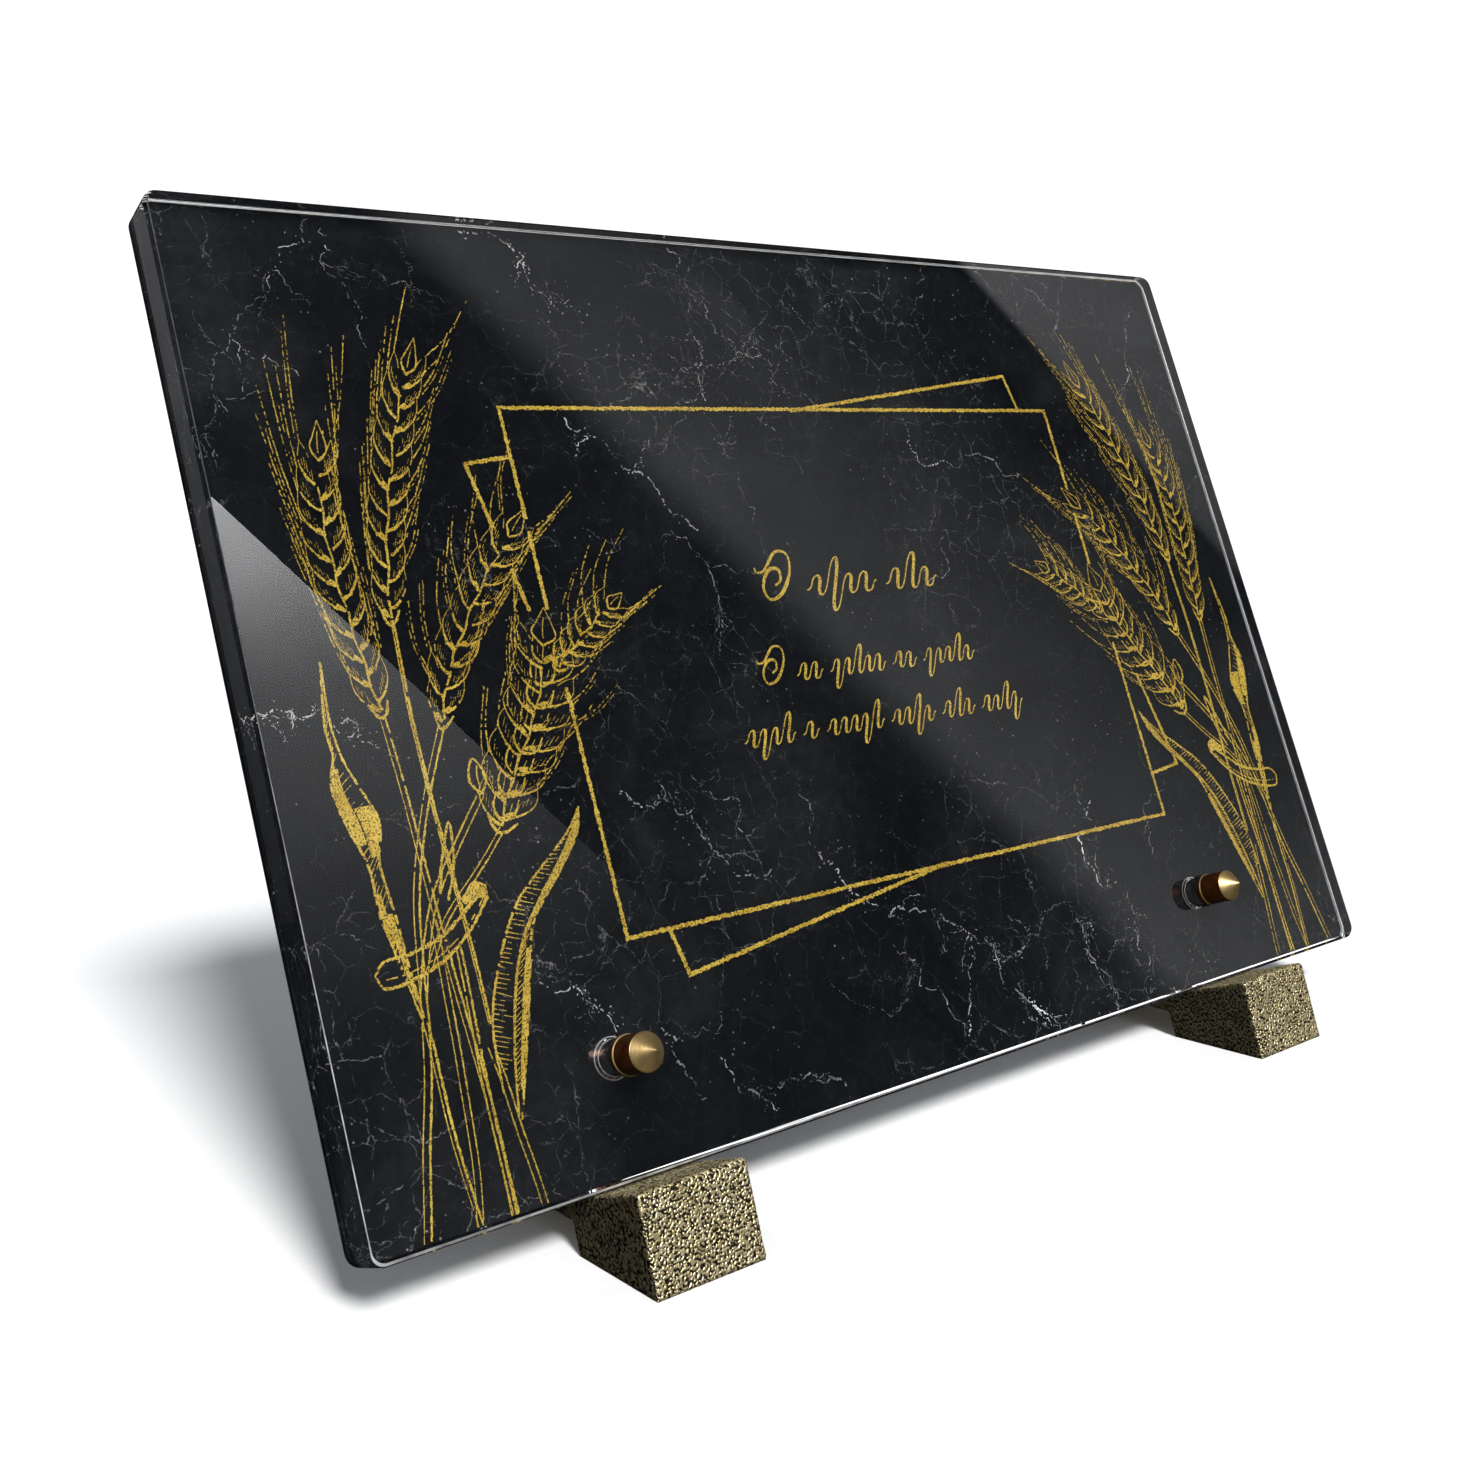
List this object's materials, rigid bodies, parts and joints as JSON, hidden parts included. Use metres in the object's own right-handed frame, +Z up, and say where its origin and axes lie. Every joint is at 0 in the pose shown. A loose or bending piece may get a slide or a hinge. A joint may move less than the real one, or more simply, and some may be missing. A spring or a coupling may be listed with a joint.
{
  "type": "leaning grave plaque",
  "caption": "Leaning grave plaque: a clear front over a black marble print with gold wheat ears, script lines and thin frames, on cast feet with cone-headed brass screws.",
  "frame": {"origin": "on the ground under the middle of the object's box", "axes": "+X along the plaque's width to the right as seen from the front, +Y to the back, +Z up"},
  "size_m": [0.3, 0.0928, 0.2032],
  "materials": {
    "clear_acrylic": "clear, polished",
    "marble_print": "black marble print with gold artwork",
    "hammered_bronze_paint": "hammered bronze paint on a casting",
    "turned_brass": "fine turned",
    "gold_print": "printed gold, gritty",
    "silver_edge": "light edge of the printed panel"
  },
  "bodies": {
    "root": {"clear_plate": "clear_acrylic", "marble_panel": "marble_print", "left_foot": "hammered_bronze_paint", "right_foot": "hammered_bronze_paint", "left_screw": "turned_brass", "right_screw": "turned_brass"}
  },
  "joints": []
}
